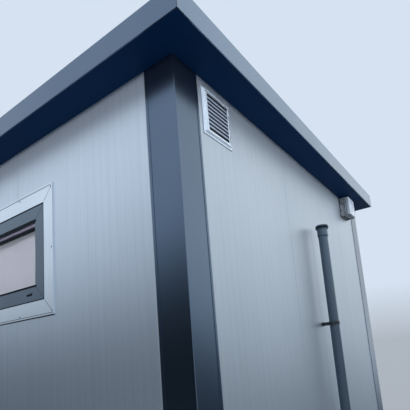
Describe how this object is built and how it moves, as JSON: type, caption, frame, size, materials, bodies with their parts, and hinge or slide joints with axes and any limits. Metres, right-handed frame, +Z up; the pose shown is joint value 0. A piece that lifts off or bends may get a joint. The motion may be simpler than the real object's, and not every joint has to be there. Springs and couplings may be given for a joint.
{
  "type": "portable site cabin",
  "caption": "Flat-roofed insulated panel site cabin with overhanging eaves, high windows, a door, a louvred vent, a pipe and a bulkhead light.",
  "frame": {"origin": "middle of the footprint of the eaves, at the underside of the base rails", "axes": "+X along the long front wall to the end wall with the vent, pipe and light; +Y from the front wall to the back wall; +Z up"},
  "size_m": [6.36, 3.186, 2.845],
  "materials": {
    "wall_panel": "satin silver grey coating on micro-ribbed steel",
    "anthracite_steel": "satin anthracite coating on folded steel",
    "silver_flashing": "smooth satin silver coating on folded steel",
    "roof_steel": "grey coated profiled steel",
    "roof_board": "pale lined board",
    "floor_board": "grey vinyl on board",
    "anthracite_plastic": "fine-grained anthracite window profile",
    "clear_glass": "clear float glass",
    "blind_fabric": "pale plain blind",
    "bare_steel": "satin brushed stainless steel",
    "vent_aluminium": "bright mill aluminium",
    "pipe_plastic": "smooth anthracite pipe",
    "seal_rubber": "black ring seal",
    "clip_plastic": "black moulded clip",
    "light_plastic": "white moulded base",
    "light_glass": "ribbed clear cover"
  },
  "bodies": {
    "root": {"base_rails": "anthracite_steel", "base_crossmembers": "anthracite_steel", "floor_deck": "floor_board", "front_wall_piers": "wall_panel", "front_wall_header": "wall_panel", "front_wall_sills": "wall_panel", "back_wall": "wall_panel", "left_wall": "wall_panel", "right_wall": "wall_panel", "right_wall_corner_panel": "wall_panel", "right_wall_below_vent": "wall_panel", "right_wall_above_vent": "wall_panel", "corner_trim_front_left": "anthracite_steel", "corner_trim_front_right": "anthracite_steel", "corner_trim_back_left": "anthracite_steel", "corner_trim_back_right": "anthracite_steel", "roof_deck": "roof_board", "roof_sheet": "roof_steel", "fascia_front": "anthracite_steel", "fascia_left": "anthracite_steel", "fascia_back": "anthracite_steel", "fascia_right": "anthracite_steel", "soffit_front": "anthracite_steel", "soffit_left": "anthracite_steel", "soffit_right": "anthracite_steel", "window_frame_left": "anthracite_plastic", "window_frame_right": "anthracite_plastic", "window_glass_left": "clear_glass", "window_glass_right": "clear_glass", "window_blind_left": "blind_fabric", "window_blind_right": "blind_fabric", "window_flashing_left": "silver_flashing", "window_flashing_right": "silver_flashing", "door_frame": "anthracite_steel", "door_leaf": "anthracite_steel", "door_flashing": "silver_flashing", "door_hinges": "bare_steel", "door_handle": "bare_steel", "vent_frame": "vent_aluminium", "vent_blades": "vent_aluminium", "vent_pipe": "pipe_plastic", "pipe_seal": "seal_rubber", "pipe_clips": "clip_plastic", "light_base": "light_plastic", "light_cover": "light_glass"}
  },
  "joints": []
}
